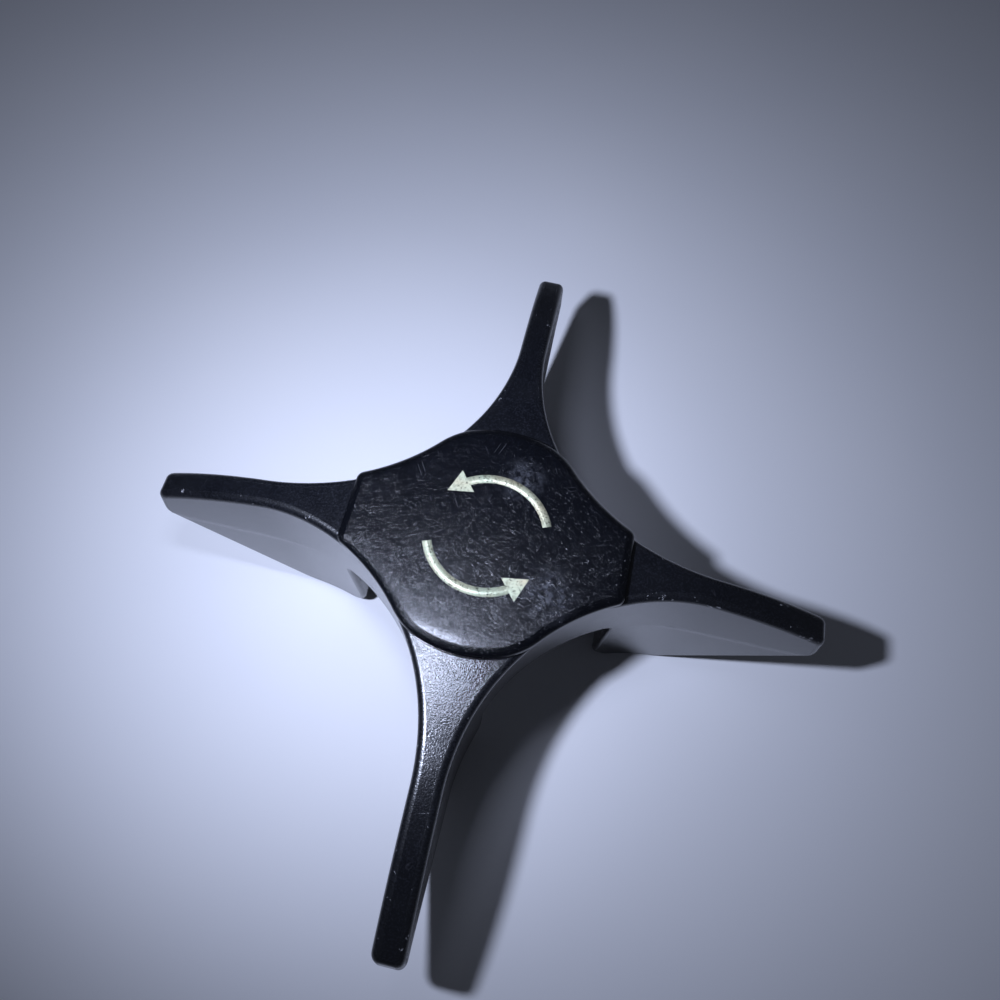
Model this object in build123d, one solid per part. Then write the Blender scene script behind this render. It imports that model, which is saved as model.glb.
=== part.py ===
from build123d import *
from math import acos, atan2, cos, pi, sin, sqrt, tan
import os

os.makedirs("parts", exist_ok=True)

# The opener is a four-armed star with a round socket under its middle.
# The origin is on the hub's axis, at the surface that the arms stand on.
# +X is the right arm, -Y the front arm, +Z up. Millimetres.

# Driving sizes of the whole
plate_height = 43.0
skirt_depth = 17.5
side_reach = 56.0
front_reach = 58.6
arm_thickness = 4.9

# Driving sizes of the cork socket: a guide ring at the mouth, then a tighter seat
socket_radius = 15.4
socket_wall = 2.3
socket_roof = 2.0
mouth_flare = 0.7
guide_height = 5.5
seat_step = 0.3

# Driving sizes of the four ribs that bite the cork
rib_height = 0.6
rib_width = 2.0

# Driving sizes of the rim round the socket and the slit outside it
rim_wall = 3.05
flex_gap = 0.3

# Driving sizes of the cap plate and its two pegs
cap_thickness = 2.0
cap_end_land = 3.6
cap_end_overlap = 1.0
cap_overhang = 0.2
cap_corner_radius = 1.0
cap_edge_radius = 0.9
peg_radius = 1.5
peg_length = 6.0
peg_clearance = 0.1
peg_tip_chamfer = 0.4

# Driving sizes of an arm seen from its side
droop_start = 25.0
droop_radius = 65.0
nose_overhang = 1.7
lobe_inner_radius = 22.6
lobe_round_height = 8.0
foot_start = 26.0
foot_width = 9.6
foot_inner_share = 0.12
foot_outer_share = 0.33
nose_fillet = 3.0
tip_fillet = 1.5
rim_fillet = 1.2

# Heights that follow from the sizes above
hub_top = plate_height - cap_thickness
skirt_foot = plate_height - skirt_depth
guide_top = skirt_foot + guide_height
socket_top = hub_top - socket_roof
seat_radius = socket_radius - seat_step

# Plan of the star: four round hollows between the arms, one in each quarter
flank_radius = (socket_radius + socket_wall - sqrt(2) * arm_thickness / 2) / (sqrt(2) - 1)
flank_centre = flank_radius + arm_thickness / 2

# Radii of the rim, of the root of a flexing arm and of the plate above them
rim_radius = socket_radius + rim_wall
root_radius = rim_radius + flex_gap
cap_radius = rim_radius + flex_gap / 2
cap_half_length = cap_radius + cap_end_land

# The hub stops under the plate's straight ends, which reach on over the arms
hub_half_length = cap_half_length - cap_end_overlap
peg_place = (socket_radius + hub_half_length) / 2


def hollows(shrink):
    # the four round hollows between the arms, each drawn in by shrink
    places = GridLocations(2 * flank_centre, 2 * flank_centre, 2, 2)
    return [place * Circle(flank_radius - shrink) for place in places]


def star_middle(radius, half_length, shrink):
    # round to the front and rear, cut straight across the left and right arms
    square = Rectangle(2 * half_length, sqrt(2) * radius)
    return (Circle(radius) + square) - hollows(shrink)


def cap_plate():
    outline = star_middle(cap_radius, cap_half_length, cap_overhang)
    corners = [v for v in outline.vertices() if abs(v.X) > cap_half_length - cap_overhang]
    outline = fillet(corners, cap_corner_radius)
    plate = Pos(0, 0, hub_top) * extrude(outline, cap_thickness)
    plate = fillet(plate.faces().sort_by(Axis.Z)[-1].edges(), cap_edge_radius)
    peg = Cylinder(peg_radius, peg_length, align=(Align.CENTER, Align.CENTER, Align.MAX))
    peg = chamfer(peg.faces().sort_by(Axis.Z)[0].edges(), peg_tip_chamfer)
    for side in (-1, 1):
        plate += Pos(side * peg_place, 0, hub_top) * peg
    return plate


def hub_shell():
    outline = star_middle(rim_radius, hub_half_length, 0)
    hub = Pos(0, 0, skirt_foot) * extrude(outline, hub_top - skirt_foot)
    low = (Align.CENTER, Align.CENTER, Align.MIN)
    hub -= Pos(0, 0, skirt_foot) * Cylinder(socket_radius, guide_height, align=low)
    hub -= Pos(0, 0, guide_top) * Cylinder(seat_radius, socket_top - guide_top, align=low)
    hub -= Pos(0, 0, skirt_foot) * Cone(socket_radius + mouth_flare, socket_radius, mouth_flare, align=low)
    high = (Align.CENTER, Align.CENTER, Align.MAX)
    for side in (-1, 1):
        hole = Cylinder(peg_radius + peg_clearance, peg_length + peg_clearance, align=high)
        hub -= Pos(side * peg_place, 0, hub_top) * hole
    return hub


def cork_rib(angle):
    # a low wedge up the seat's wall, its back curved to that wall
    wedge = make_face(Polyline(
        (seat_radius - rib_height, 0),
        (seat_radius + rib_height, -rib_width),
        (seat_radius + rib_height, rib_width),
        close=True,
    ))
    rib = Pos(0, 0, guide_top) * extrude(wedge & Circle(seat_radius), socket_top - guide_top)
    return Rot(0, 0, angle) * rib


def flank_height(x):
    # half of the arm's thickness at the distance x, where the hollows flare it
    return flank_centre - sqrt(flank_radius ** 2 - (flank_centre - x) ** 2)


def flank_arc(x, side):
    # the hollow's edge from the distance x out to where the arm runs straight
    start = (x, side * flank_height(x))
    middle_x = (x + flank_centre) / 2
    middle = (middle_x, side * flank_height(middle_x))
    end = (flank_centre, side * arm_thickness / 2)
    return ThreePointArc(start, middle, end)


def arm_plan(reach, flexing):
    # the arm along +X seen from above
    nose = reach + nose_overhang
    half = arm_thickness / 2
    x = hub_half_length
    if flexing:
        diagonal = sqrt(2) * flank_centre
        turn = acos((root_radius ** 2 + diagonal ** 2 - flank_radius ** 2) / (2 * root_radius * diagonal))
        x = root_radius * cos(pi / 4 - turn)
    y = flank_height(x)
    root = ThreePointArc((x, y), (root_radius, 0), (x, -y)) if flexing else Line((x, y), (x, -y))
    tip = Polyline((flank_centre, -half), (nose, -half), (nose, half), (flank_centre, half))
    return make_face([root, flank_arc(x, -1), tip, flank_arc(x, 1)])


def arm_profile(reach, inner):
    # the arm along +X seen from the front: level root, drooping top, deep lobe
    droop_end = droop_start + reach - side_reach
    drop = droop_radius - sqrt(droop_radius ** 2 - (side_reach - droop_start) ** 2)
    half_turn = atan2(side_reach - droop_start, droop_radius) / 2
    mid_x = droop_end + droop_radius * sin(half_turn)
    mid_z = hub_top - droop_radius * (1 - cos(half_turn))
    top = [
        Line((inner, hub_top), (droop_end, hub_top)),
        ThreePointArc((droop_end, hub_top), (mid_x, mid_z), (reach, hub_top - drop)),
    ]
    # the lobe's inner end is one arc, upright where it leaves the root
    run = foot_start - lobe_inner_radius
    bulge = (run ** 2 + lobe_round_height ** 2) / (2 * run)
    swing = atan2(lobe_round_height, bulge - run)
    mid_x = lobe_inner_radius + bulge * (1 - cos(swing / 2))
    mid = (mid_x, lobe_round_height - bulge * sin(swing / 2))
    nose = (reach + nose_overhang, skirt_foot)
    foot_end = foot_start + foot_width
    edge = [
        Polyline((reach, hub_top - drop), nose, (foot_end, 0), (foot_start, 0)),
        ThreePointArc((foot_start, 0), mid, (lobe_inner_radius, lobe_round_height)),
        Polyline(
            (lobe_inner_radius, lobe_round_height),
            (lobe_inner_radius, skirt_foot),
            (inner, skirt_foot),
            (inner, hub_top),
        ),
    ]
    outline = make_face(top + edge)
    # the flat foot is rounded up into the lobe at both ends
    outer_turn = atan2(skirt_foot, nose[0] - foot_end)
    inner_turn = pi / 2 - swing
    rounds = (
        ((reach, hub_top - drop), tip_fillet),
        (nose, nose_fillet),
        ((foot_end, 0), foot_outer_share * foot_width / tan(outer_turn / 2)),
        ((foot_start, 0), foot_inner_share * foot_width / tan(inner_turn / 2)),
    )
    for place, radius in rounds:
        corner = outline.vertices().sort_by_distance(Vector(*place))[0]
        outline = fillet(corner, radius)
    return outline


def is_rim(edge):
    # an edge that bounds one flank, apart from the upright seams on that flank
    start = edge @ 0
    end = edge @ 1
    upright = abs((edge % 0.5).Z) == 1
    at_lobe = abs(start.X - lobe_inner_radius) < flex_gap
    return start.Y * end.Y > 0 and (at_lobe or not upright)


def arm(reach, angle, flexing=False):
    inner = 0 if flexing else hub_half_length
    plan = extrude(arm_plan(reach, flexing), hub_top)
    side = Plane.XZ * arm_profile(reach, inner)
    body = plan & extrude(side, flank_centre, both=True)
    rims = [edge for edge in body.edges() if is_rim(edge)]
    return Rot(0, 0, angle) * fillet(rims, rim_fillet)


parts = {
    "cap_plate": cap_plate(),
    "hub_shell": hub_shell(),
    "arm_right": arm(side_reach, 0),
    "arm_left": arm(side_reach, 180),
    "arm_front": arm(front_reach, 270, flexing=True),
    "arm_rear": arm(front_reach, 90, flexing=True),
}
rib_angles = {"rear_right": 45, "rear_left": 135, "front_left": 225, "front_right": 315}
for corner, angle in rib_angles.items():
    parts["cork_rib_" + corner] = cork_rib(angle)

for name, solid in parts.items():
    solid.label = name
    export_step(solid, f"parts/{name}.step")
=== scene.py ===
from math import acos, asin, atan2, cos, hypot, pi, radians, sin, sqrt, tan

import bmesh
import bpy
from mathutils import Matrix, Vector
from mathutils.geometry import delaunay_2d_cdt
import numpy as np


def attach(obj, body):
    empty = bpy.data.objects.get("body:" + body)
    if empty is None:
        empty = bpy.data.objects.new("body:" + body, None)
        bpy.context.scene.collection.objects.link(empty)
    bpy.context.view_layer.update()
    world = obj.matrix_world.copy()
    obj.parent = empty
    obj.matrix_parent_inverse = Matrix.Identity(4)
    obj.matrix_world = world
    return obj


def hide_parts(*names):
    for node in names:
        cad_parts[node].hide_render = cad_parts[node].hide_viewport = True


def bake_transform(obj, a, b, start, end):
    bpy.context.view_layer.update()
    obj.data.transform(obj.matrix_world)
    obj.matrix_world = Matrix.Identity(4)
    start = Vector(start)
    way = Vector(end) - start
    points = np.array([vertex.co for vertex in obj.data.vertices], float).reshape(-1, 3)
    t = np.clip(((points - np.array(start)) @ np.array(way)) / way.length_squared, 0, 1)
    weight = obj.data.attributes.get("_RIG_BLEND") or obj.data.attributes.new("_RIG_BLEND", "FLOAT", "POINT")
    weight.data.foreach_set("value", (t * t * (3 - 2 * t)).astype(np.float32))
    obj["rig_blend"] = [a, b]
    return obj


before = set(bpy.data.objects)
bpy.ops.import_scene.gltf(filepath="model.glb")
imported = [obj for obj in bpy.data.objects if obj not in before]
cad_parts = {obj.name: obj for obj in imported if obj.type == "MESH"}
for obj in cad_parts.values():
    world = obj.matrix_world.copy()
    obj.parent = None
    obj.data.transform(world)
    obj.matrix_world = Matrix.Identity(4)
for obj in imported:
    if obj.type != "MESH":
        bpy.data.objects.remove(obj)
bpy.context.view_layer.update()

# Body moulding
# Hub and four arms are one moulding in satin black, fine-grained nylon: round
# hollows between the arms, a socket for the cork under the hub, rounded rims
# and a parting line level with the hub's foot. Handling has nicked its rims.

hub_top = 0.041
parting_height = 0.0255
side_reach = 0.056
front_reach = 0.0586
arm_thickness = 0.0049
socket_radius = 0.0154
socket_wall = 0.0023
draft = radians(0.5)
flank_radius = (socket_radius + socket_wall - sqrt(2) * arm_thickness / 2) / (sqrt(2) - 1)
flank_centre = flank_radius + arm_thickness / 2
flank_quarter = flank_radius * pi / 4

# an arm seen from its side, as distances out from the hub's axis and heights
droop_start = 0.025
droop_radius = 0.065
nose_overhang = 0.0017
lobe_throat = (0.0226, 0.008)
foot_inner = (0.026, 0.0)
foot_outer = (0.0356, 0.0)
tip_cut = 0.0011
nose_cut = 0.0019
foot_outer_cut = 0.0032
foot_inner_cut = 0.00115
root_cut = 0.001
outline_step = 0.0009

# rims: rounded in full on the arms, slightly on the hub, and the distances out
# at which they change
arm_rim = 0.0012
root_rim = 0.0009
hub_top_rim = 0.00035
hub_foot_rim = 0.0004
side_rim_full = 0.0218
front_rim_full = 0.0165
rim_growth = 0.0025
rim_fade = 0.003
hub_foot_end = 0.0214
throat_end = 0.0229
rim_segments = 6
rim_border = 0.00008

# the seam where a bending arm leaves the middle, and where its bend lies
seam_distance = 0.019
seam_band = 0.00006
seam_clearance = 0.0003
bend_start = 0.0192
bend_end = 0.03
bend_height = 0.033

# the parting line's step, which grows along the arms, and the wall's spacing
parting_step = 0.00007
parting_step_start = 0.03
parting_step_full = 0.034
parting_crease = 0.00012
above_parting = parting_height + 0.001
below_parting = parting_height - 0.0005
wall_step = 0.0018
wall_clearance = 0.00035
column_clearance = 0.0005
wall_seam_clearance = 0.0006
parting_clearance = 0.0006
sharp_turn = 0.6

# socket from its mouth to its roof, as radii and heights
socket_turns = 24
socket_roof = 0.039
socket_profile = [
    (0.0161, 0.0255), (0.01575, 0.02572), (0.01552, 0.02598), (0.01542, 0.02628), (0.0154, 0.0266),
    (0.0154, 0.03082), (0.01534, 0.03096), (0.0152, 0.031), (0.01512, 0.03104), (0.0151, 0.03118),
    (0.0151, 0.0386), (0.01498, 0.03888), (0.0147, 0.039), (0.0135, 0.039), (0.007, 0.039),
]

moulded_black = (0.0022, 0.0026, 0.0042, 1.0)
faded_black = (0.0044, 0.0049, 0.0067, 1.0)
grain_grey = (0.015, 0.0165, 0.0225, 1.0)
hairline_grey = (0.11, 0.11, 0.125, 1.0)
dust_grey = (0.3, 0.31, 0.34, 1.0)
nick_grey = (0.34, 0.34, 0.36, 1.0)
grain_scale = 3600.0
mottle_scale = 210.0
grain_relief = 0.00004


def feed(tree, value, socket):
    # another node's output is linked to the socket, a plain value is set on it
    if isinstance(value, bpy.types.NodeSocket):
        tree.links.new(value, socket)
    else:
        socket.default_value = value


def add_node(tree, kind, **inputs):
    # a node with its inputs fed by name, where _ stands for a space
    node = tree.nodes.new(kind)
    for name, value in inputs.items():
        feed(tree, value, node.inputs[name.replace("_", " ")])
    return node


def calculate(tree, operation, first, second, clamp=False):
    node = tree.nodes.new("ShaderNodeMath")
    node.operation = operation
    node.use_clamp = clamp
    feed(tree, first, node.inputs[0])
    feed(tree, second, node.inputs[1])
    return node.outputs["Value"]


def multiply(tree, first, second):
    return calculate(tree, "MULTIPLY", first, second)


def stretch(tree, value, low, high, out_low=0.0, out_high=1.0):
    # value, clamped to low..high, mapped to out_low..out_high
    node = tree.nodes.new("ShaderNodeMapRange")
    node.clamp = True
    names = ("Value", "From Min", "From Max", "To Min", "To Max")
    for name, number in zip(names, (value, low, high, out_low, out_high)):
        feed(tree, number, node.inputs[name])
    return node.outputs["Result"]


def noise(tree, vector, scale, detail=2.0, roughness=0.5, distortion=0.0):
    node = add_node(
        tree, "ShaderNodeTexNoise",
        Vector=vector, Scale=scale, Detail=detail, Roughness=roughness, Distortion=distortion,
    )
    return node.outputs["Fac"]


def mix_colors(tree, share, first, second):
    node = tree.nodes.new("ShaderNodeMix")
    node.data_type = "RGBA"
    for index, value in ((0, share), (6, first), (7, second)):
        feed(tree, value, node.inputs[index])
    return node.outputs["Result"]


def set_relief(tree, shader, height, strength, distance):
    bump = add_node(tree, "ShaderNodeBump", Strength=strength, Distance=distance, Height=height)
    feed(tree, bump.outputs["Normal"], shader.inputs["Normal"])


def new_group(name, numbers, output):
    # a shader group with a vector and named numbers in, and one number out
    tree = bpy.data.node_groups.new(name, "ShaderNodeTree")
    tree.interface.new_socket(name="Vector", in_out="INPUT", socket_type="NodeSocketVector")
    for socket_name, value in numbers:
        socket = tree.interface.new_socket(name=socket_name, in_out="INPUT", socket_type="NodeSocketFloat")
        socket.default_value = value
    tree.interface.new_socket(name=output, in_out="OUTPUT", socket_type="NodeSocketFloat")
    source = tree.nodes.new("NodeGroupInput")
    result = tree.nodes.new("NodeGroupOutput")
    return tree, source.outputs, result.inputs[output]


def place_group(tree, group, output, **inputs):
    node = tree.nodes.new("ShaderNodeGroup")
    node.node_tree = group
    for name, value in inputs.items():
        feed(tree, value, node.inputs[name])
    return node.outputs[output]


def hairline_group():
    # fine scratches: long thin cells in four turned directions, broken up
    numbers = (("Spacing", 0.0012), ("Amount", 0.5))
    tree, source, result = new_group("hairline_scratches", numbers, "Scratches")
    line_width = 0.012
    total = None
    for turn, length, share in ((0.35, 26.0, 1.0), (1.25, 18.0, 0.8), (-0.55, 34.0, 0.9), (2.1, 14.0, 0.7)):
        turned = add_node(tree, "ShaderNodeMapping", Vector=source["Vector"], Rotation=(0.0, 0.0, turn))
        drawn = tree.nodes.new("ShaderNodeVectorMath")
        drawn.operation = "MULTIPLY"
        feed(tree, turned.outputs["Vector"], drawn.inputs[0])
        feed(tree, (1.0, 1.0 / length, 1.0), drawn.inputs[1])
        scale = calculate(tree, "DIVIDE", 1.0, source["Spacing"])
        cells = noise(tree, drawn.outputs["Vector"], scale, detail=1.0, distortion=0.35)
        off_line = calculate(tree, "ABSOLUTE", calculate(tree, "SUBTRACT", cells, 0.5), 0.0)
        thin = stretch(tree, off_line, 0.0, line_width, share, 0.0)
        # they show in patches only, the more of them the higher Amount is
        patch_scale = multiply(tree, scale, 0.22 + 0.05 * share)
        patches = noise(tree, turned.outputs["Vector"], patch_scale, roughness=0.6)
        edge = calculate(tree, "SUBTRACT", 0.78, multiply(tree, source["Amount"], 0.4))
        shown = stretch(tree, patches, edge, calculate(tree, "ADD", edge, 0.08))
        kept = multiply(tree, thin, shown)
        total = kept if total is None else calculate(tree, "MAXIMUM", total, kept)
    feed(tree, total, result)
    return tree


def speck_group():
    # small pale flecks of dust and grit, of mixed sizes
    numbers = (("Spacing", 0.001), ("Size", 0.1), ("Share", 0.3))
    tree, source, result = new_group("dust_specks", numbers, "Specks")
    scale = calculate(tree, "DIVIDE", 1.0, source["Spacing"])
    dots = add_node(tree, "ShaderNodeTexVoronoi", Vector=source["Vector"], Scale=scale)
    warp = noise(tree, source["Vector"], multiply(tree, scale, 3.0), detail=1.0)
    # each cell's colour gives its fleck a size and says whether it has one
    bent = calculate(tree, "ADD", dots.outputs["Distance"], multiply(tree, warp, 0.1))
    chance = add_node(tree, "ShaderNodeSeparateColor", Color=dots.outputs["Color"])
    edge = calculate(tree, "ADD", multiply(tree, chance.outputs["Green"], source["Size"]), 0.05)
    dot = stretch(tree, bent, multiply(tree, edge, 0.6), edge, 1.0, 0.0)
    chosen = calculate(tree, "LESS_THAN", chance.outputs["Red"], source["Share"])
    feed(tree, multiply(tree, dot, chosen), result)
    return tree


def nick_group():
    # chips in clusters along a rim, whose mask Rim is 1 on the rounded edges
    numbers = (("Rim", 0.0), ("Spacing", 0.0012), ("Amount", 0.5))
    tree, source, result = new_group("rim_nicks", numbers, "Nicks")
    scale = calculate(tree, "DIVIDE", 1.0, source["Spacing"])
    chips = noise(tree, source["Vector"], scale, detail=3.0, roughness=0.65, distortion=0.4)
    places = noise(tree, source["Vector"], multiply(tree, scale, 0.19), detail=1.0)
    both = calculate(tree, "ADD", chips, multiply(tree, places, 0.5))
    edge = calculate(tree, "SUBTRACT", 1.08, multiply(tree, source["Amount"], 0.2))
    chipped = stretch(tree, both, edge, calculate(tree, "ADD", edge, 0.025))
    feed(tree, multiply(tree, chipped, source["Rim"]), result)
    return tree


hairlines = hairline_group()
specks = speck_group()
nicks = nick_group()


def new_material(name, **constants):
    # a material with one Principled shader, and the piece's own coordinates
    material = bpy.data.materials.new(name)
    material.use_nodes = True
    tree = material.node_tree
    shader = tree.nodes["Principled BSDF"]
    for socket, value in constants.items():
        shader.inputs[socket.replace("_", " ")].default_value = value
    place = tree.nodes.new("ShaderNodeTexCoord").outputs["Object"]
    return material, tree, shader, place


def rim_mask(tree):
    rim = tree.nodes.new("ShaderNodeAttribute")
    rim.attribute_name = "rim"
    return rim.outputs["Fac"]


def body_plastic():
    material, tree, shader, place = new_material("satin_black_plastic", IOR=1.5, Specular_IOR_Level=1.0)
    rim = rim_mask(tree)
    grain = noise(tree, place, grain_scale, roughness=0.6)
    mottle = noise(tree, place, mottle_scale, detail=4.0, roughness=0.6)
    dust = place_group(tree, specks, "Specks", Vector=place, Spacing=0.0016, Size=0.1, Share=0.16)
    lint = place_group(tree, specks, "Specks", Vector=place, Spacing=0.0042, Size=0.05, Share=0.3)
    lines = place_group(tree, hairlines, "Scratches", Vector=place, Spacing=0.0016, Amount=0.35)
    chips = place_group(tree, nicks, "Nicks", Vector=place, Rim=rim, Spacing=0.0009, Amount=0.54)
    dirt = calculate(tree, "MAXIMUM", multiply(tree, dust, 0.3), multiply(tree, lint, 0.75))
    color = mix_colors(tree, stretch(tree, mottle, 0.35, 0.7), moulded_black, faded_black)
    color = mix_colors(tree, stretch(tree, grain, 0.5, 0.72, 0.0, 0.6), color, grain_grey)
    color = mix_colors(tree, multiply(tree, lines, 0.16), color, hairline_grey)
    color = mix_colors(tree, dirt, color, dust_grey)
    color = mix_colors(tree, multiply(tree, chips, 0.7), color, nick_grey)
    feed(tree, color, shader.inputs["Base Color"])
    rough = stretch(tree, mottle, 0.3, 0.75, 0.12, 0.15)
    rough = calculate(tree, "ADD", rough, multiply(tree, grain, 0.12))
    rough = calculate(tree, "ADD", rough, multiply(tree, rim, 0.09))
    rough = calculate(tree, "ADD", rough, multiply(tree, dirt, 0.4), clamp=True)
    feed(tree, rough, shader.inputs["Roughness"])
    height = calculate(tree, "SUBTRACT", grain, multiply(tree, lines, 0.5))
    height = calculate(tree, "SUBTRACT", height, multiply(tree, chips, 1.2))
    set_relief(tree, shader, height, strength=0.8, distance=grain_relief)
    return material


satin_black = body_plastic()


def ease(value, low, high):
    # 0 at low, 1 at high, level at both
    share = min(1.0, max(0.0, (value - low) / (high - low)))
    return share * share * (3 - 2 * share)


def flank_place(along):
    # plan point, plan direction into the plastic: along is the length of wall
    # from the diagonal, positive towards the side arm
    if abs(along) > flank_quarter:
        far = flank_centre + abs(along) - flank_quarter
        place, inward = Vector((far, arm_thickness / 2)), Vector((0.0, -1.0))
    else:
        turn = pi / 4 - abs(along) / flank_radius
        across = (flank_centre - flank_radius * sin(turn), flank_centre - flank_radius * cos(turn))
        place, inward = Vector(across), Vector((-sin(turn), -cos(turn)))
    straightened = 0.3 * flank_quarter
    inward = inward.lerp(Vector((0.0, -1.0)), ease(abs(along), 0.0, straightened)).normalized()
    if along < 0:
        place, inward = place.yx, inward.yx
    return place, inward


def along_at(reach_out):
    # length of wall from the diagonal to the distance reach_out along an arm
    if reach_out >= flank_centre:
        return flank_quarter + reach_out - flank_centre
    return flank_radius * (pi / 4 - asin((flank_centre - reach_out) / flank_radius))


def run(start, end, step):
    # points of a straight run, both ends included
    count = max(1, round(hypot(end[0] - start[0], end[1] - start[1]) / step))
    return [tuple(start[k] + (end[k] - start[k]) * i / count for k in (0, 1)) for i in range(count + 1)]


def sweep(centre, radius, first, last, step):
    # points of an arc between two angles, both ends included
    count = max(2, round(abs(last - first) * radius / step))
    angles = [first + (last - first) * i / count for i in range(count + 1)]
    return [(centre[0] + radius * cos(a), centre[1] + radius * sin(a)) for a in angles]


def trimmed(points, length, at_end):
    # the run shortened by length at one end
    points = list(reversed(points)) if at_end else list(points)
    gap = hypot(points[1][0] - points[0][0], points[1][1] - points[0][1])
    while len(points) > 2 and gap <= length:
        length -= gap
        points.pop(0)
        gap = hypot(points[1][0] - points[0][0], points[1][1] - points[0][1])
    share = min(0.98, length / gap)
    points[0] = tuple(points[0][k] + (points[1][k] - points[0][k]) * share for k in (0, 1))
    return list(reversed(points)) if at_end else points


def rounded_chain(runs, cuts, steps=8):
    # runs that meet end to start, with each meeting rounded over the length in cuts
    chain = [list(points) for points in runs]
    result = []
    for index, cut in enumerate(cuts):
        if not cut:
            result += chain[index][:-1]
            continue
        corner = chain[index][-1]
        chain[index] = trimmed(chain[index], cut, True)
        chain[index + 1] = trimmed(chain[index + 1], cut, False)
        start, end = chain[index][-1], chain[index + 1][0]
        weight = sin((Vector(start) - Vector(corner)).angle(Vector(end) - Vector(corner)) / 2)
        result += chain[index]
        for i in range(1, steps):
            t = i / steps
            shares = ((1 - t) ** 2, 2 * weight * t * (1 - t), t ** 2)
            spot = [sum(q * p[k] for q, p in zip(shares, (start, corner, end))) for k in (0, 1)]
            result.append(tuple(value / sum(shares) for value in spot))
    return result + chain[-1]


def arm_side_view(reach):
    # the arm's outline from the side, from over the diagonal along its top,
    # round the lobe and back under the hub
    start = flank_centre - flank_radius / sqrt(2)
    level_end = droop_start + reach - side_reach
    fall = asin((reach - level_end) / droop_radius)
    tip = (reach, hub_top - droop_radius * (1 - cos(fall)))
    nose = (reach + nose_overhang, parting_height)
    lobe_run = foot_inner[0] - lobe_throat[0]
    bulge = (lobe_run ** 2 + lobe_throat[1] ** 2) / (2 * lobe_run)
    lobe_centre = (lobe_throat[0] + bulge, lobe_throat[1])
    lobe_swing = asin(lobe_throat[1] / bulge)
    step = outline_step
    runs = [
        run((start, hub_top), (level_end, hub_top), step),
        sweep((level_end, hub_top - droop_radius), droop_radius, pi / 2, pi / 2 - fall, step),
        run(tip, nose, step),
        run(nose, foot_outer, step),
        run(foot_outer, foot_inner, step / 2),
        sweep(lobe_centre, bulge, pi + lobe_swing, pi, step),
        run(lobe_throat, (lobe_throat[0], parting_height), step),
        run((lobe_throat[0], parting_height), (start, parting_height), step),
    ]
    return rounded_chain(runs, [0, tip_cut, nose_cut, foot_outer_cut, foot_inner_cut, 0, root_cut])


seam_along = along_at(seam_distance)


def wall_outline(reach):
    # the same outline on the wall's surface, as (length along the wall, height),
    # with three close points where the bending arm meets the middle
    points = [(along_at(out), z) for out, z in arm_side_view(reach)]
    result = []
    for here, there in zip(points, points[1:] + [None]):
        result.append(here)
        if there and (here[0] - seam_along) * (there[0] - seam_along) < 0:
            order = (-1, 0, 1) if there[0] > here[0] else (1, 0, -1)
            result += [(seam_along + k * seam_band, here[1]) for k in order]
    cleaned = [result[0]]
    for point in result[1:]:
        off_seam = abs(point[0] - seam_along)
        if not (0 < off_seam < seam_clearance and abs(off_seam - seam_band) > 1e-9):
            cleaned.append(point)
    return cleaned


def rim_size(along, height, side_arm):
    # how far the rim is rounded, grown smoothly where an arm leaves the hub
    out = abs(along)
    if height > above_parting:
        covered = along_at(side_rim_full if side_arm else front_rim_full)
        return hub_top_rim + (arm_rim - hub_top_rim) * ease(out, covered - rim_growth, covered)
    if height > below_parting and out < along_at(hub_foot_end):
        return hub_foot_rim + (root_rim - hub_foot_rim) * ease(out, rim_fade, seam_along)
    on_throat = (1 - ease(parting_height - height, 0.0, rim_fade)) * (out < along_at(throat_end))
    return arm_rim - (arm_rim - root_rim) * on_throat


def wall_point(along, height, depth):
    # a point of the wall, depth metres into the plastic; the draft thins the
    # wall both ways from the parting line, and the lower half of the mould
    # sits a hair further in
    place, inward = flank_place(along)
    below = ease(parting_height - height, 0.0, 0.0001)
    grown = ease(abs(along), along_at(parting_step_start), along_at(parting_step_full))
    step = parting_step * below * grown
    place = place + inward * (depth + tan(draft) * abs(height - parting_height) + step)
    return Vector((place.x, place.y, height))


def bending(along):
    # 1 for what belongs to a bending arm, 0 for the middle
    return 1 if along < -seam_along else 0


def rim_rings(mesh, loop, side_count):
    # rings of the rounded rim, from the edge band to the wall, and the spots
    # of the last one on the wall
    count = len(loop)
    rim_layer = mesh.verts.layers.float["rim"]
    part_layer = mesh.faces.layers.int["bends"]
    normals, sizes = [], []
    for i, (u, z) in enumerate(loop):
        before, after = loop[i - 1], loop[(i + 1) % count]
        direction = Vector((after[0] - before[0], after[1] - before[1])).normalized()
        normals.append(Vector((direction.y, -direction.x)))
        sizes.append(rim_size(u, z, i < side_count))
    rings = []
    for k in range(-1, rim_segments + 2):
        turn = min(max(k, 0), rim_segments) / rim_segments * pi / 2
        ring, spots = [], []
        for i, (u, z) in enumerate(loop):
            inset = sizes[i] * (1 - cos(turn)) + (rim_border if k > rim_segments else 0.0)
            depth = sizes[i] * (1 - sin(turn)) + (rim_border if k < 0 else 0.0)
            spot = (u + normals[i].x * inset, z + normals[i].y * inset)
            vertex = mesh.verts.new(wall_point(spot[0], spot[1], depth))
            vertex[rim_layer] = 1.0 if 0 <= k <= rim_segments else 0.0
            ring.append(vertex)
            spots.append(spot)
        rings.append(ring)
    for a, b in zip(rings, rings[1:]):
        for i in range(count):
            j = (i + 1) % count
            face = mesh.faces.new((a[i], a[j], b[j], b[i]))
            face[part_layer] = bending((loop[i][0] + loop[j][0]) / 2)
    return rings, spots


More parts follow.
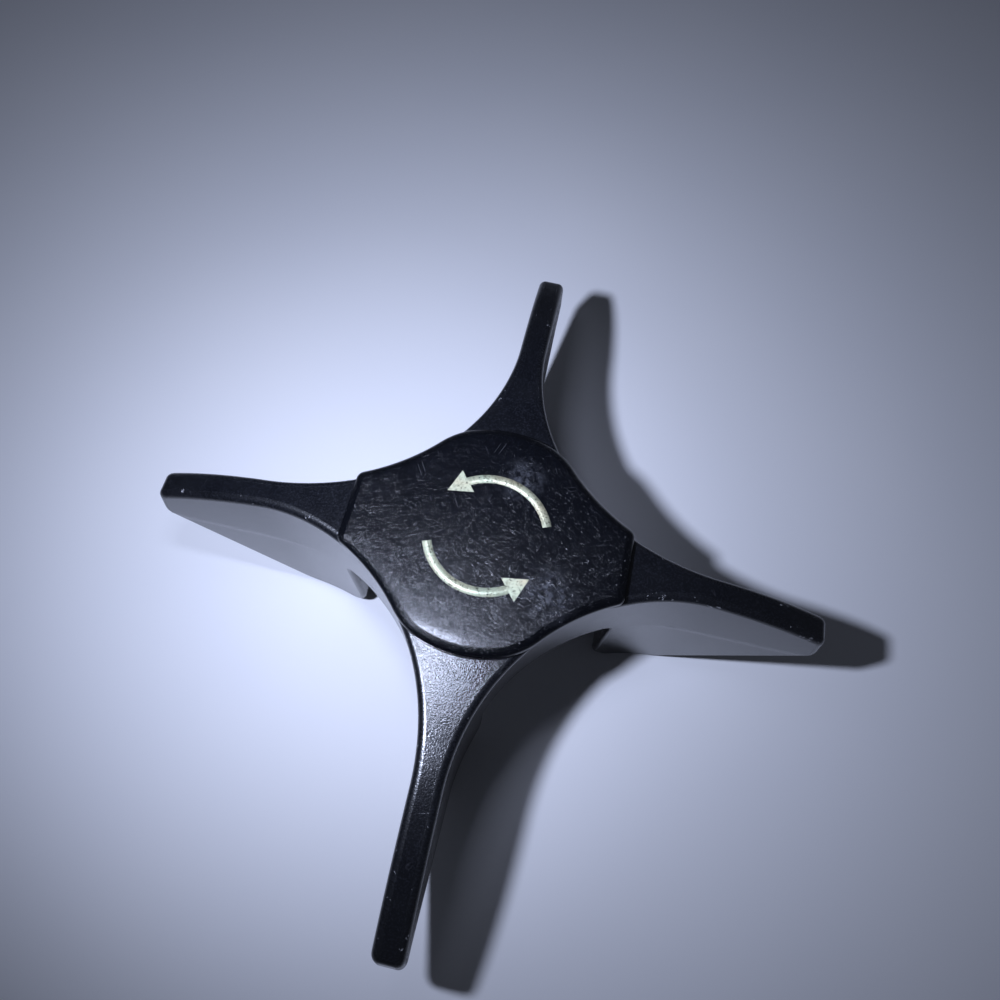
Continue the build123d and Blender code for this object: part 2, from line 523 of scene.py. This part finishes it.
def wall_inside(mesh, ring, spots):
    # the wall inside the rims, in columns that follow its curve
    count = len(spots)
    part_layer = mesh.faces.layers.int["bends"]
    inner = [Vector(spot) for spot in spots]
    sides = list(zip(inner, inner[1:] + inner[:1]))
    points = list(inner)
    edges = [(i, (i + 1) % count) for i in range(count)]

    def clear(u, z, gap):
        # inside the inner loop and at least gap from it
        inside, nearest = False, 1.0
        for a, b in sides:
            if (a.y > z) != (b.y > z) and u < (b.x - a.x) * (z - a.y) / (b.y - a.y) + a.x:
                inside = not inside
            nearest = min(nearest, hypot(a.x - u, a.y - z))
        return inside and nearest > gap

    columns = {0.0}
    for sign, reach in ((1, side_reach), (-1, front_reach)):
        last = along_at(reach + nose_overhang)
        columns |= {sign * wall_step * i for i in range(1, int(last / wall_step) + 1)}
    columns = {c for c in columns if abs(abs(c) - seam_along) > column_clearance}
    columns |= {sign * (seam_along + k * seam_band) for sign in (-1, 1) for k in (-1, 0, 1)}
    crease_rows = (parting_height - parting_crease, parting_height, parting_height + parting_crease)
    rows = [wall_step * i for i in range(1, int(hub_top / wall_step) + 2)]
    rows = sorted([z for z in rows if abs(z - parting_height) > parting_clearance] + list(crease_rows))
    grid = {}
    for c in sorted(columns):
        at_seam = abs(abs(c) - seam_along) <= seam_band * 1.01
        lowest = above_parting if at_seam or abs(c) < along_at(lobe_throat[0]) else 0.0
        chain = []
        for r in rows:
            if r >= lowest and clear(c, r, wall_seam_clearance if at_seam else wall_clearance):
                grid[(c, r)] = len(points)
                chain.append(len(points))
                points.append(Vector((c, r)))
        if at_seam and chain:
            ends = [i for i in range(count) if abs(inner[i].x - c) < 1e-6 and inner[i].y > parting_height]
            ends.sort(key=lambda i: inner[i].y)
            chain = [ends[0]] + chain + [ends[-1]]
            edges += list(zip(chain, chain[1:]))
    for r in crease_rows:
        line = [grid[(c, r)] for c in sorted(columns) if (c, r) in grid]
        edges += [(a, b) for a, b in zip(line, line[1:]) if points[b].x - points[a].x < 2.2 * wall_step]
    # triangulated in millimetres, as its tolerance is absolute
    millimetres = [Vector((p.x * 1000, p.y * 1000)) for p in points]
    found = delaunay_2d_cdt(millimetres, edges, [list(reversed(range(count)))], 1, 1e-6)
    verts = []
    for spot, origin in zip(found[0], found[3]):
        on_ring = [i for i in origin if i < count]
        if on_ring:
            verts.append(ring[on_ring[0]])
        else:
            verts.append(mesh.verts.new(wall_point(spot.x / 1000, spot.y / 1000, 0.0)))
    for corners in found[2]:
        around = [verts[i] for i in corners]
        if len(set(around)) < 3:
            continue
        face = mesh.faces.new(around)
        face[part_layer] = bending(sum(found[0][i].x for i in corners) / len(corners) / 1000)


def edge_rows(mesh, loop, band, indices, is_side):
    # half of an arm's edge band, out to the plane through the arm's middle
    part_layer = mesh.faces.layers.int["bends"]
    indices = [i for i in indices if abs(loop[i][0]) >= seam_along - 1.5 * seam_band]
    rows = []
    for i in indices:
        start = band[i].co
        end = Vector((start.x, 0.0, start.z)) if is_side else Vector((0.0, start.y, start.z))
        rows.append([band[i]] + [mesh.verts.new(start.lerp(end, share)) for share in (0.5, 1.0)])
    for n, (a, b) in enumerate(zip(rows, rows[1:])):
        middle = (loop[indices[n]][0] + loop[indices[n + 1]][0]) / 2
        for m in range(2):
            face = mesh.faces.new((a[m], b[m], b[m + 1], a[m + 1]))
            face[part_layer] = bending(middle)
    low_end, top_end = sorted((rows[0], rows[-1]), key=lambda row: row[0].co.z)
    return top_end, low_end


def hub_faces(mesh, loop, band, tops, feet):
    # flat top of the hub, the socket's mouth, guide ring, tighter seat and roof
    middle_height = (hub_top + parting_height) / 2
    on_hub = [i for i in range(len(loop)) if abs(loop[i][0]) < seam_along - 1.5 * seam_band]
    on_hub.sort(key=lambda i: atan2(band[i].co.y, band[i].co.x))
    top_edge = [band[i] for i in on_hub if loop[i][1] > middle_height]
    foot_edge = [band[i] for i in on_hub if loop[i][1] < middle_height]
    centre = mesh.verts.new((0.0, 0.0, hub_top))
    mesh.faces.new([centre] + list(reversed(tops[0])) + top_edge + tops[1])
    angles = [pi / 2 * i / socket_turns for i in range(socket_turns + 1)]
    socket = [[mesh.verts.new((r * cos(a), r * sin(a), z)) for a in angles] for r, z in socket_profile]
    for a, b in zip(socket, socket[1:]):
        for i in range(socket_turns):
            mesh.faces.new((a[i], a[i + 1], b[i + 1], b[i]))
    roof = mesh.verts.new((0.0, 0.0, socket_roof))
    for i in range(socket_turns):
        mesh.faces.new((socket[-1][i], socket[-1][i + 1], roof))
    mesh.faces.new(list(reversed(feet[0])) + foot_edge + feet[1] + list(reversed(socket[0])))


def body_quarter():
    # one quarter of the moulding, between the planes x = 0 and y = 0
    side = wall_outline(side_reach)
    front = [(-u, z) for u, z in wall_outline(front_reach)]
    loop = side + list(reversed(front))[1:-1]
    mesh = bmesh.new()
    mesh.verts.layers.float.new("rim")
    mesh.faces.layers.int.new("bends")
    rings, spots = rim_rings(mesh, loop, len(side))
    wall_inside(mesh, rings[-1], spots)
    side_top, side_foot = edge_rows(mesh, loop, rings[0], range(len(side)), True)
    front_top, front_foot = edge_rows(mesh, loop, rings[0], range(len(side), len(loop)), False)
    hub_faces(mesh, loop, rings[0], (side_top, front_top), (side_foot, front_foot))
    return mesh


def whole_from_quarter(quarter):
    # the quarter mirrored over both middle planes, merged, facing outwards
    for axis in (0, 1):
        everything = quarter.verts[:] + quarter.edges[:] + quarter.faces[:]
        copied = bmesh.ops.duplicate(quarter, geom=everything)["geom"]
        for vertex in [v for v in copied if isinstance(v, bmesh.types.BMVert)]:
            vertex.co[axis] = -vertex.co[axis]
        bmesh.ops.reverse_faces(quarter, faces=[f for f in copied if isinstance(f, bmesh.types.BMFace)])
        bmesh.ops.remove_doubles(quarter, verts=quarter.verts[:], dist=2e-7)
    bmesh.ops.recalc_face_normals(quarter, faces=quarter.faces[:])
    return quarter


def finished_piece(mesh, name, sharp_from, material):
    # shaded smooth but for edges that turn by more than sharp_from, as an object
    for face in mesh.faces:
        face.smooth = True
    for edge in mesh.edges:
        edge.smooth = edge.calc_face_angle(0.0) < sharp_from
    bmesh.ops.triangulate(mesh, faces=[f for f in mesh.faces if len(f.verts) > 4])
    data = bpy.data.meshes.new(name)
    mesh.to_mesh(data)
    mesh.free()
    data.materials.append(material)
    piece = bpy.data.objects.new(name, data)
    bpy.context.collection.objects.link(piece)
    return piece


def split_body(whole, name, kept_side):
    # the middle (0) or a bending arm (1 rear, -1 front), closed where it is cut
    part = whole.copy()
    layer = part.faces.layers.int["bends"]
    others = [f for f in part.faces if f[layer] * (1 if f.calc_center_median().y > 0 else -1) != kept_side]
    bmesh.ops.delete(part, geom=others, context="FACES")
    bmesh.ops.holes_fill(part, edges=[e for e in part.edges if len(e.link_faces) == 1])
    bmesh.ops.recalc_face_normals(part, faces=part.faces[:])
    return finished_piece(part, name, sharp_turn, satin_black)


body_whole = whole_from_quarter(body_quarter())
body_middle = split_body(body_whole, "body_middle", 0)
rear_arm_skin = split_body(body_whole, "rear_arm_skin", 1)
front_arm_skin = split_body(body_whole, "front_arm_skin", -1)
body_whole.free()

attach(body_middle, "root")
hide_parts("hub_shell", "arm_left", "arm_right")

for piece, name, side in ((front_arm_skin, "front", -1), (rear_arm_skin, "rear", 1)):
    start = (0.0, side * bend_start, bend_height)
    end = (0.0, side * bend_end, bend_height)
    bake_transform(piece, "root", name + "_arm", start=start, end=end)
    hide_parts("arm_" + name)

# Cork ribs
# Four low wedges up the seat's wall, moulded with the body and in its
# plastic. They bite the cork when the star is squeezed.

for corner in ("rear_right", "rear_left", "front_left", "front_right"):
    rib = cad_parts["cork_rib_" + corner]
    rib.data.materials.clear()
    rib.data.materials.append(satin_black)

# Cap plate
# A separate moulding in glossy black plastic, pressed on to the hub, its edge
# rounded over. Years of use have left a net of fine scratches all over it.

plate_top = 0.043
cap_face = plate_top - 0.00002
cap_radius = 0.0186
cap_half_length = 0.0222
cap_corner_cut = 0.0009
cap_meeting_cut = 0.0028
cap_step = 0.0005
cap_edge_width = 0.0013
cap_edge_depth = 0.0011
cap_edge_segments = 8
cap_edge_turn = radians(40.0)
cap_crown = 0.00004
crown_shares = (0.98, 0.96, 0.94, 0.92, 0.9)
cap_sharp_turn = 0.28

# the plate's lower edge and upright side, as insets and heights
cap_side_profile = [
    (0.0009, hub_top), (0.00016, hub_top), (0.00005, hub_top + 0.00004), (0.0, hub_top + 0.00015),
    (0.0, cap_face - cap_edge_depth - 0.00004),
]

gloss_black = (0.0006, 0.0009, 0.002, 1.0)
clouded_black = (0.0012, 0.0017, 0.0034, 1.0)
fibre_grey = (0.0044, 0.0056, 0.0105, 1.0)
rubbed_grey = (0.1, 0.105, 0.12, 1.0)
cap_hairline_grey = (0.16, 0.165, 0.185, 1.0)
cap_nick_grey = (0.3, 0.3, 0.32, 1.0)
fibre_scale = 10500.0
haze_scale = 130.0
cloud_scale = 900.0
fibre_turns_and_lengths = ((0.3, 16.0), (1.1, 12.0), (1.9, 16.0), (2.7, 12.0))
rubbed_patches = (((0.0034, 0.0101, plate_top), 0.0042), ((0.0111, -0.0072, plate_top), 0.005))
cap_relief = 0.00004


def fibre_streaks(tree, place):
    # a dense net of the finest scratches, drawn out in four directions
    total = None
    for turn, length in fibre_turns_and_lengths:
        turned = tree.nodes.new("ShaderNodeMapping")
        turned.vector_type = "TEXTURE"
        turned.inputs["Rotation"].default_value = (0.0, 0.0, turn)
        turned.inputs["Scale"].default_value = (1.0, length, 1.0)
        feed(tree, place, turned.inputs["Vector"])
        fibres = noise(tree, turned.outputs["Vector"], fibre_scale, roughness=0.6)
        streak = stretch(tree, fibres, 0.58, 0.78)
        total = streak if total is None else calculate(tree, "MAXIMUM", total, streak)
    return total


def rubbed_mask(tree, place):
    # 1 in the middle of the two patches that rubbing has dulled
    total = None
    for patch_place, patch_size in rubbed_patches:
        gap = tree.nodes.new("ShaderNodeVectorMath")
        gap.operation = "DISTANCE"
        feed(tree, place, gap.inputs[0])
        feed(tree, patch_place, gap.inputs[1])
        near = stretch(tree, gap.outputs["Value"], patch_size, patch_size * 0.2)
        total = near if total is None else calculate(tree, "MAXIMUM", total, near)
    return total


def gloss_plastic():
    material, tree, shader, place = new_material(
        "gloss_black_plastic", IOR=1.5, Specular_IOR_Level=0.65, Coat_Weight=0.25, Coat_Roughness=0.15,
    )
    rim = rim_mask(tree)
    haze = noise(tree, place, haze_scale, detail=5.0, roughness=0.62, distortion=0.3)
    cloud = noise(tree, place, cloud_scale, detail=4.0, roughness=0.7)
    fine = place_group(tree, hairlines, "Scratches", Vector=place, Spacing=0.0005, Amount=0.5)
    deep = place_group(tree, hairlines, "Scratches", Vector=place, Spacing=0.0023, Amount=0.3)
    dust = place_group(tree, specks, "Specks", Vector=place, Spacing=0.0012, Size=0.07, Share=0.2)
    chips = place_group(tree, nicks, "Nicks", Vector=place, Rim=rim, Spacing=0.0007, Amount=0.35)
    lines = calculate(tree, "MAXIMUM", multiply(tree, fine, 0.6), deep)
    clouded = multiply(tree, stretch(tree, haze, 0.4, 0.68), stretch(tree, cloud, 0.4, 0.75))
    streaks = fibre_streaks(tree, place)
    off_rim = calculate(tree, "SUBTRACT", 0.7, multiply(tree, rim, 0.65))
    smeared = multiply(tree, rubbed_mask(tree, place), stretch(tree, cloud, 0.42, 0.7))
    color = mix_colors(tree, clouded, gloss_black, clouded_black)
    color = mix_colors(tree, multiply(tree, streaks, off_rim), color, fibre_grey)
    color = mix_colors(tree, multiply(tree, smeared, 0.6), color, rubbed_grey)
    color = mix_colors(tree, multiply(tree, lines, 0.22), color, cap_hairline_grey)
    color = mix_colors(tree, multiply(tree, dust, 0.5), color, dust_grey)
    color = mix_colors(tree, multiply(tree, chips, 0.6), color, cap_nick_grey)
    feed(tree, color, shader.inputs["Base Color"])
    rough = stretch(tree, clouded, 0.0, 0.8, 0.215, 0.24)
    rough = calculate(tree, "ADD", rough, multiply(tree, lines, 0.2), clamp=True)
    feed(tree, rough, shader.inputs["Roughness"])
    height = calculate(tree, "SUBTRACT", multiply(tree, lines, -0.3), multiply(tree, streaks, 0.45))
    set_relief(tree, shader, height, strength=0.8, distance=cap_relief)
    return material


def cap_outline():
    # one quarter of the plate seen from above, straight end, hollow side and
    # round front, with the direction inwards at each point
    diagonal = sqrt(2) * flank_centre
    end_y = flank_centre - sqrt(flank_radius ** 2 - (flank_centre - cap_half_length) ** 2)
    swing = acos((cap_radius ** 2 + diagonal ** 2 - flank_radius ** 2) / (2 * cap_radius * diagonal))
    meet = pi / 4 + swing
    meet_point = (cap_radius * cos(meet), cap_radius * sin(meet))
    first = atan2(end_y - flank_centre, cap_half_length - flank_centre)
    last = atan2(meet_point[1] - flank_centre, meet_point[0] - flank_centre)
    runs = [
        run((cap_half_length, 0.0), (cap_half_length, end_y), cap_step),
        sweep((flank_centre, flank_centre), flank_radius, first, last, cap_step),
        sweep((0.0, 0.0), cap_radius, meet, pi / 2, cap_step),
    ]
    outline = rounded_chain(runs, [cap_corner_cut, cap_meeting_cut], 12)
    beyond_end = (outline[1][0], -outline[1][1])
    beyond_front = (-outline[-2][0], outline[-2][1])
    normals = []
    for before, after in zip([beyond_end] + outline, outline[1:] + [beyond_front]):
        direction = Vector((after[0] - before[0], after[1] - before[1])).normalized()
        normals.append(Vector((-direction.y, direction.x)))
    return outline, normals


def cap_quarter():
    # one quarter of the plate: small lower edge, upright side, rounded upper
    # edge, and inside it a face that rises to its level over the last tenth
    outline, normals = cap_outline()
    profile = [(inset, z, 0.0) for inset, z in cap_side_profile]
    for k in range(cap_edge_segments + 1):
        turn = k / cap_edge_segments * cap_edge_turn
        inset = cap_edge_width * (1 - cos(turn)) / (1 - cos(cap_edge_turn))
        fall = cap_edge_depth * (1 - sin(turn) / sin(cap_edge_turn))
        profile.append((inset, cap_face - cap_crown - fall, 1.0))
    mesh = bmesh.new()
    rim_layer = mesh.verts.layers.float.new("rim")
    rings = []
    for inset, z, mask in profile:
        ring = []
        for (x, y), normal in zip(outline, normals):
            vertex = mesh.verts.new((x + normal.x * inset, y + normal.y * inset, z))
            vertex[rim_layer] = mask
            ring.append(vertex)
        rings.append(ring)
    inner_edge = [vertex.co.copy() for vertex in rings[-1]]
    least = crown_shares[-1]
    for share in crown_shares:
        z = cap_face - cap_crown * ((share - least) / (1 - least)) ** 2
        rings.append([mesh.verts.new((co.x * share, co.y * share, z)) for co in inner_edge])
    for a, b in zip(rings, rings[1:]):
        for i in range(len(a) - 1):
            mesh.faces.new((a[i], a[i + 1], b[i + 1], b[i]))
    for ring, z in ((rings[0], hub_top), (rings[-1], cap_face)):
        mesh.faces.new([mesh.verts.new((0.0, 0.0, z))] + ring)
    for vertex in mesh.verts:
        for axis in (0, 1):
            vertex.co[axis] = 0.0 if abs(vertex.co[axis]) < 1e-8 else vertex.co[axis]
    return mesh


cap_skin = finished_piece(whole_from_quarter(cap_quarter()), "cap_skin", cap_sharp_turn, gloss_plastic())
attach(cap_skin, "root")
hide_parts("cap_plate")

# Turn marks
# Two plain curved arrows in pale gold foil, hot-stamped on the cap plate to
# show that the opener is twisted. The foil is worn and flaked.

foil_gold = (0.58, 0.54, 0.36, 1.0)
foil_green = (0.5, 0.56, 0.4, 1.0)
foil_dulled = (0.2, 0.2, 0.13, 1.0)
foil_gone = (0.008, 0.0085, 0.01, 1.0)
foil_mottle_scale = 1500.0
flake_scale = 2600.0
tint_scale = 260.0
mark_count = 2
mark_radius = 0.0092
mark_sweep = 1.9
mark_stroke = 0.0014
mark_head = 0.0024
mark_turn = radians(20.0)
foil_depth = 0.00001
foil_relief = 0.00002
foil_lift = 0.000008
head_lift = 0.0000015


def worn_foil():
    material, tree, shader, place = new_material("worn_pale_foil", IOR=1.5, Metallic=0.35)
    mottle = noise(tree, place, foil_mottle_scale, detail=4.0, roughness=0.7)
    flakes = noise(tree, place, flake_scale, detail=4.0, roughness=0.75, distortion=0.3)
    tint = noise(tree, place, tint_scale)
    lines = place_group(tree, hairlines, "Scratches", Vector=place, Spacing=0.0011, Amount=0.7)
    gone = calculate(tree, "MAXIMUM", stretch(tree, flakes, 0.58, 0.62), multiply(tree, lines, 0.8))
    color = mix_colors(tree, stretch(tree, tint, 0.35, 0.65), foil_gold, foil_green)
    color = mix_colors(tree, stretch(tree, mottle, 0.48, 0.72), color, foil_dulled)
    color = mix_colors(tree, gone, color, foil_gone)
    feed(tree, color, shader.inputs["Base Color"])
    feed(tree, stretch(tree, mottle, 0.3, 0.7, 0.38, 0.55), shader.inputs["Roughness"])
    set_relief(tree, shader, flakes, strength=0.4, distance=foil_relief)
    return material


def turn_mark_tree(material):
    # an arc with an arrowhead at its end, repeated evenly round the hub's axis
    tree = bpy.data.node_groups.new("turn_marks", "GeometryNodeTree")
    number = "NodeSocketFloat"
    wanted = (
        ("Count", "NodeSocketInt", mark_count), ("Radius", number, mark_radius),
        ("Sweep", number, mark_sweep), ("Stroke", number, mark_stroke),
        ("Head", number, mark_head), ("Foil", number, foil_depth),
    )
    for name, kind, value in wanted:
        tree.interface.new_socket(name=name, in_out="INPUT", socket_type=kind).default_value = value
    tree.interface.new_socket(name="Geometry", in_out="OUTPUT", socket_type="NodeSocketGeometry")
    source = tree.nodes.new("NodeGroupInput").outputs
    result = tree.nodes.new("NodeGroupOutput")
    arc = add_node(
        tree, "GeometryNodeCurveArc",
        Resolution=48, Start_Angle=0.0, Radius=source["Radius"], Sweep_Angle=source["Sweep"],
    )
    section = add_node(
        tree, "GeometryNodeCurvePrimitiveQuadrilateral", Width=source["Stroke"], Height=source["Foil"],
    )
    band = add_node(
        tree, "GeometryNodeCurveToMesh",
        Fill_Caps=True, Curve=arc.outputs["Curve"], Profile_Curve=section.outputs["Curve"],
    )
    head = add_node(
        tree, "GeometryNodeMeshCylinder", Vertices=3, Radius=source["Head"], Depth=source["Foil"],
    )
    head_place = add_node(tree, "ShaderNodeCombineXYZ", X=source["Radius"], Z=head_lift)
    head_turn = add_node(tree, "ShaderNodeCombineXYZ", Z=pi / 2)
    turned = add_node(
        tree, "GeometryNodeTransform",
        Geometry=head.outputs["Mesh"], Rotation=head_turn.outputs["Vector"],
        Translation=head_place.outputs["Vector"],
    )
    swing = add_node(tree, "ShaderNodeCombineXYZ", Z=source["Sweep"])
    swung = add_node(
        tree, "GeometryNodeTransform",
        Geometry=turned.outputs["Geometry"], Rotation=swing.outputs["Vector"],
    )
    mark = tree.nodes.new("GeometryNodeJoinGeometry")
    tree.links.new(band.outputs["Mesh"], mark.inputs["Geometry"])
    tree.links.new(swung.outputs["Geometry"], mark.inputs["Geometry"])
    spots = add_node(tree, "GeometryNodePoints", Count=source["Count"])
    index = tree.nodes.new("GeometryNodeInputIndex").outputs["Index"]
    angle = multiply(tree, index, calculate(tree, "DIVIDE", 2 * pi, source["Count"]))
    rotation = add_node(tree, "ShaderNodeCombineXYZ", Z=angle)
    copies = add_node(
        tree, "GeometryNodeInstanceOnPoints",
        Points=spots.outputs["Geometry"], Instance=mark.outputs["Geometry"],
        Rotation=rotation.outputs["Vector"],
    )
    real = add_node(tree, "GeometryNodeRealizeInstances", Geometry=copies.outputs["Instances"])
    finish = add_node(
        tree, "GeometryNodeSetMaterial", Geometry=real.outputs["Geometry"], Material=material,
    )
    tree.links.new(finish.outputs["Geometry"], result.inputs["Geometry"])
    return tree


marks_maker = bpy.data.objects.new("turn_marks_maker", bpy.data.meshes.new("turn_marks_maker"))
bpy.context.collection.objects.link(marks_maker)
marks_modifier = marks_maker.modifiers.new("turn_marks", "NODES")
marks_modifier.node_group = turn_mark_tree(worn_foil())
bpy.context.view_layer.update()
marks_made = marks_maker.evaluated_get(bpy.context.evaluated_depsgraph_get())
marks_data = bpy.data.meshes.new_from_object(marks_made)
marks_place = Matrix.Translation((0.0, 0.0, cap_face + foil_lift))
marks_data.transform(marks_place @ Matrix.Rotation(mark_turn, 4, "Z"))
bpy.data.objects.remove(marks_maker)
turn_marks = bpy.data.objects.new("turn_marks", marks_data)
bpy.context.collection.objects.link(turn_marks)
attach(turn_marks, "root")

# Floor and light
# A sheet of pale lavender paper under one small lamp beside the camera, a weak
# strip of light above the hub and soft light from all round to fill shadows.

paper_pale = (0.84, 0.845, 0.87, 1.0)
paper_white = (0.87, 0.87, 0.885, 1.0)
floor_half = 1.5
paper_relief = 0.00005
paper_fibre_scale = 1400.0
blotch_scale = 14.0
lamp_color = (0.68, 0.755, 1.0)
strip_color = (0.69, 0.76, 1.0)
world_color = (0.71, 0.78, 1.0, 1.0)


def paper():
    material, tree, shader, place = new_material("pale_paper", Roughness=0.85, Specular_IOR_Level=0.3)
    fibres = noise(tree, place, paper_fibre_scale, detail=4.0, roughness=0.65)
    blotches = noise(tree, place, blotch_scale, detail=3.0)
    color = mix_colors(tree, stretch(tree, blotches, 0.3, 0.7), paper_pale, paper_white)
    feed(tree, color, shader.inputs["Base Color"])
    set_relief(tree, shader, fibres, strength=0.15, distance=paper_relief)
    return material


floor_corners = [(x * floor_half, y * floor_half, 0.0) for x, y in ((-1, -1), (1, -1), (1, 1), (-1, 1))]
floor_data = bpy.data.meshes.new("paper_floor")
floor_data.from_pydata(floor_corners, [], [(0, 1, 2, 3)])
floor_data.materials.append(paper())
paper_floor = bpy.data.objects.new("paper_floor", floor_data)
bpy.context.collection.objects.link(paper_floor)

lamp_data = bpy.data.lights.new("lamp", "AREA")
lamp_data.shape = "DISK"
lamp_data.size = 0.009
lamp_data.energy = 0.205
lamp_data.spread = radians(148.0)
lamp_data.color = lamp_color
lamp = bpy.data.objects.new("lamp", lamp_data)
bpy.context.collection.objects.link(lamp)
lamp.location = (-0.036, -0.034, 0.14)
lamp.rotation_euler = Vector((0.25, 1.0, -1.0)).to_track_quat("-Z", "Y").to_euler()

strip_data = bpy.data.lights.new("strip", "AREA")
strip_data.shape = "RECTANGLE"
strip_data.size = 0.018
strip_data.size_y = 0.008
strip_data.energy = 0.0066
strip_data.spread = radians(64.0)
strip_data.color = strip_color
strip = bpy.data.objects.new("strip", strip_data)
bpy.context.collection.objects.link(strip)
strip.location = (-0.0155, -0.0055, 0.138)
strip.rotation_euler = (radians(4.6), radians(4.6), 0.0)

world = bpy.data.worlds.new("world")
bpy.context.scene.world = world
world.use_nodes = True
background = world.node_tree.nodes["Background"]
background.inputs["Color"].default_value = world_color
background.inputs["Strength"].default_value = 0.042

# Camera
# The opener is seen from above and a little in front of it, close up through
# a wide lens, with the picture turned a few degrees.

camera_data = bpy.data.cameras.new("camera")
camera_data.lens = 25.57
camera_data.sensor_width = 36.0
camera_data.clip_start = 0.001
camera_data.clip_end = 20.0
camera = bpy.data.objects.new("camera", camera_data)
bpy.context.collection.objects.link(camera)
camera_right = Vector((0.97546, 0.21684, 0.0381)).normalized()
camera_forward = Vector((-0.05284, 0.39861, -0.9156)).normalized()
camera_up = camera_right.cross(camera_forward).normalized()
camera_place = Matrix((camera_right, camera_up, -camera_forward)).transposed().to_4x4()
camera_place.translation = (0.00649, -0.038, 0.14385)
camera.matrix_world = camera_place
bpy.context.scene.camera = camera
bpy.context.scene.view_settings.view_transform = "Standard"
